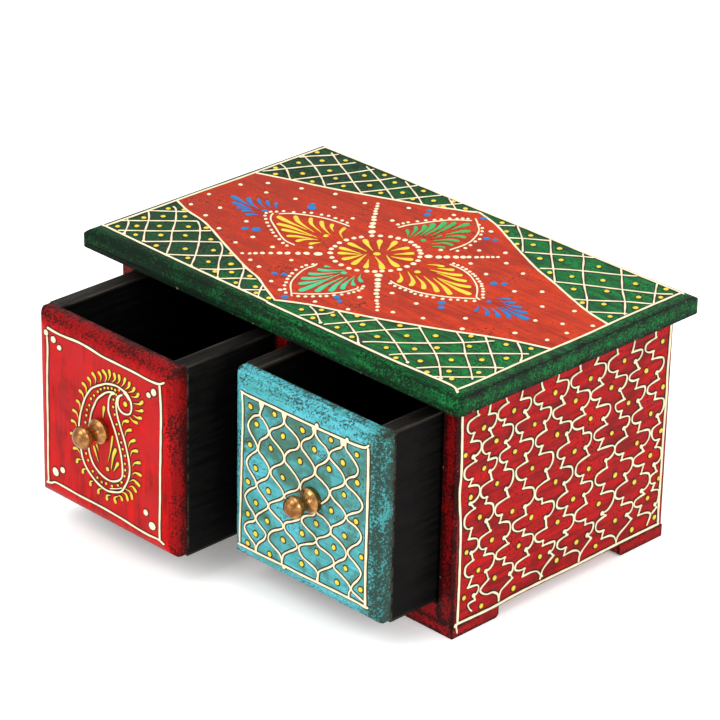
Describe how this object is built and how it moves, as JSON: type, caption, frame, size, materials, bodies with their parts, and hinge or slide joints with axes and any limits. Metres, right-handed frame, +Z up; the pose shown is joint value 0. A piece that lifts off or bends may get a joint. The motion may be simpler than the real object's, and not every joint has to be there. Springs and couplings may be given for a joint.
{
  "type": "wooden drawer box",
  "caption": "Small painted wooden chest with side-by-side drawers, block feet, an overhanging moulded top board and turned brass knobs, for crafts and small parts.",
  "frame": {"origin": "on the surface that the feet stand on, under the middle of the whole row's box with both drawers out as pictured", "axes": "+X to the right as seen by someone facing the drawers, +Y from the drawer fronts to the back, +Z up"},
  "size_m": [0.2022, 0.1832, 0.106],
  "materials": {
    "green_painted_wood": "green paint, rubbed through to dark wood on its edges",
    "red_painted_wood": "crimson paint, rubbed and antiqued, satin",
    "turquoise_painted_wood": "turquoise paint, rubbed and antiqued, satin",
    "black_stained_wood": "thin black stain on bare wood, matte",
    "antique_brass": "turned and browned with age, satin",
    "zinc_steel": "bright zinc plate"
  },
  "bodies": {
    "case": {"top_board": "green_painted_wood", "ceiling_panel": "red_painted_wood", "left_side_panel": "red_painted_wood", "right_side_panel": "red_painted_wood", "back_panel": "red_painted_wood", "bottom_board": "red_painted_wood", "centre_divider": "red_painted_wood", "front_left_foot": "red_painted_wood", "front_right_foot": "red_painted_wood", "rear_left_foot": "red_painted_wood", "rear_right_foot": "red_painted_wood"},
    "left_drawer": {"left_drawer_front": "red_painted_wood", "left_drawer_left_side": "black_stained_wood", "left_drawer_right_side": "black_stained_wood", "left_drawer_back": "black_stained_wood", "left_drawer_bottom": "black_stained_wood", "left_knob": "antique_brass", "left_knob_screw": "zinc_steel", "left_knob_washer": "zinc_steel"},
    "right_drawer": {"right_drawer_front": "turquoise_painted_wood", "right_drawer_left_side": "black_stained_wood", "right_drawer_right_side": "black_stained_wood", "right_drawer_back": "black_stained_wood", "right_drawer_bottom": "black_stained_wood", "right_knob": "antique_brass", "right_knob_screw": "zinc_steel", "right_knob_washer": "zinc_steel"}
  },
  "joints": [
    {"name": "left_drawer_slide", "type": "slide", "parent": "case", "child": "left_drawer", "axis": [0, -1, 0], "range_m": [-0.0517, 0.0363]},
    {"name": "right_drawer_slide", "type": "slide", "parent": "case", "child": "right_drawer", "axis": [0, -1, 0], "range_m": [-0.0312, 0.0568]}
  ]
}
